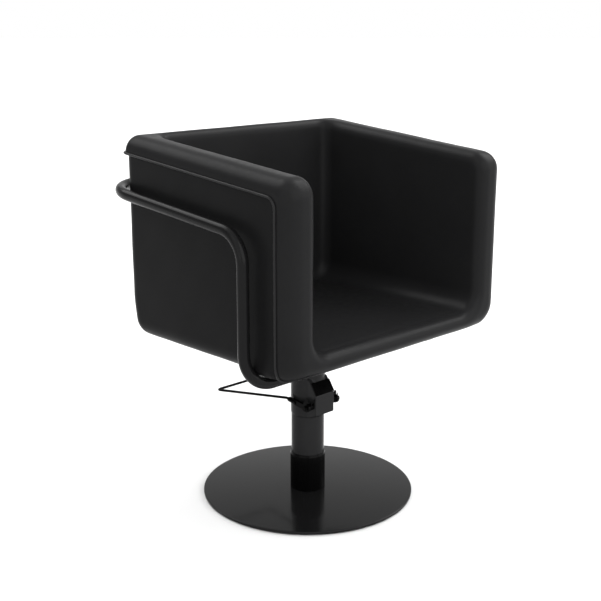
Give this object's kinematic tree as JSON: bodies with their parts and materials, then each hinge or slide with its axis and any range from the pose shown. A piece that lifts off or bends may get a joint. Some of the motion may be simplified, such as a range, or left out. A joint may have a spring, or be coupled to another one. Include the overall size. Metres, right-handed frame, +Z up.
{
  "type": "salon styling chair",
  "caption": "Boxy upholstered tub seat with a bent tube rail around it, on a foot-pumped hydraulic column with a round floor disc.",
  "frame": {"origin": "centre of the floor disc's underside, on the column's axis, at floor level", "axes": "+Z up along the column, -Y towards the front of the seat, +X towards the sitter's left"},
  "size_m": [0.741, 0.5824, 0.8573],
  "materials": {
    "upholstery": "soft matt black upholstery leatherette with a fine grain",
    "black_coated_steel": "satin black powder coat",
    "black_gloss_steel": "gloss black enamel",
    "bright_steel": "ground and polished steel",
    "bronze": "machined bearing bronze",
    "black_rubber": "matt black rubber",
    "plywood": "raw birch plywood"
  },
  "bodies": {
    "base": {"floor_pad": "black_rubber", "floor_disc": "black_coated_steel", "pump_cylinder": "black_gloss_steel", "flange_bolt_1": "black_gloss_steel", "flange_bolt_2": "black_gloss_steel", "flange_bolt_3": "black_gloss_steel", "flange_bolt_4": "black_gloss_steel", "lower_sleeve": "black_gloss_steel", "column_sleeve": "black_coated_steel", "pump_head": "black_coated_steel", "head_bolt_left": "black_gloss_steel", "head_bolt_right": "black_gloss_steel", "valve_cover": "black_gloss_steel", "guide_bush": "bronze", "dust_wiper": "black_rubber"},
    "ram": {"ram_rod": "bright_steel", "ram_piston": "bronze", "thrust_washer": "bronze"},
    "seat": {"swivel_hub": "black_coated_steel", "mounting_plate": "black_coated_steel", "plate_bolt_1": "black_gloss_steel", "plate_bolt_2": "black_gloss_steel", "plate_bolt_3": "black_gloss_steel", "plate_bolt_4": "black_gloss_steel", "bottom_cover": "black_rubber", "seat_board": "plywood", "arm_board_left": "plywood", "arm_board_right": "plywood", "back_board": "plywood", "arm_pad_left": "upholstery", "side_panel_left": "upholstery", "arm_pad_right": "upholstery", "side_panel_right": "upholstery", "seat_pad": "upholstery", "back_pad": "upholstery", "back_panel": "upholstery", "front_hoop": "black_coated_steel", "side_rail_left": "black_coated_steel", "side_rail_right": "black_coated_steel", "rail_plug_left": "bright_steel", "rail_plug_right": "bright_steel", "rail_plug_rear": "bright_steel", "rear_spacer_left": "black_coated_steel", "rear_spacer_right": "black_coated_steel", "saddle_left": "black_coated_steel", "saddle_right": "black_coated_steel", "saddle_screw_1": "black_gloss_steel", "saddle_screw_2": "black_gloss_steel", "saddle_screw_3": "black_gloss_steel", "saddle_screw_4": "black_gloss_steel"},
    "pedal": {"pivot_shaft": "black_gloss_steel", "cam": "black_gloss_steel", "yoke_arm_left": "black_gloss_steel", "shaft_nut_left": "black_gloss_steel", "return_spring_left": "black_gloss_steel", "yoke_arm_right": "black_gloss_steel", "shaft_nut_right": "black_gloss_steel", "return_spring_right": "black_gloss_steel", "pedal_loop": "black_gloss_steel"},
    "plunger": {"pump_plunger": "bright_steel"}
  },
  "joints": [
    {"name": "seat_lift", "type": "slide", "parent": "base", "child": "ram", "axis": [0, 0, 1], "range_m": [0, 0.14]},
    {"name": "seat_swivel", "type": "hinge", "parent": "ram", "child": "seat", "pos_m": [0, 0, 0.32], "axis": [0, 0, 1], "continuous": true},
    {"name": "pedal_pump", "type": "hinge", "parent": "base", "child": "pedal", "pos_m": [0, -0.045, 0.2295], "axis": [1, 0, 0], "range_deg": [-20, 0], "stiffness_Nm_per_rad": 4, "springref_deg": 28.65},
    {"name": "plunger_stroke", "type": "slide", "parent": "base", "child": "plunger", "axis": [0, 0, 1], "range_m": [-0.006, 0.001]}
  ],
  "couplings": [
    {"joint": "plunger_stroke", "follows": "pedal_pump", "m_per_rad": 0.01375}
  ]
}
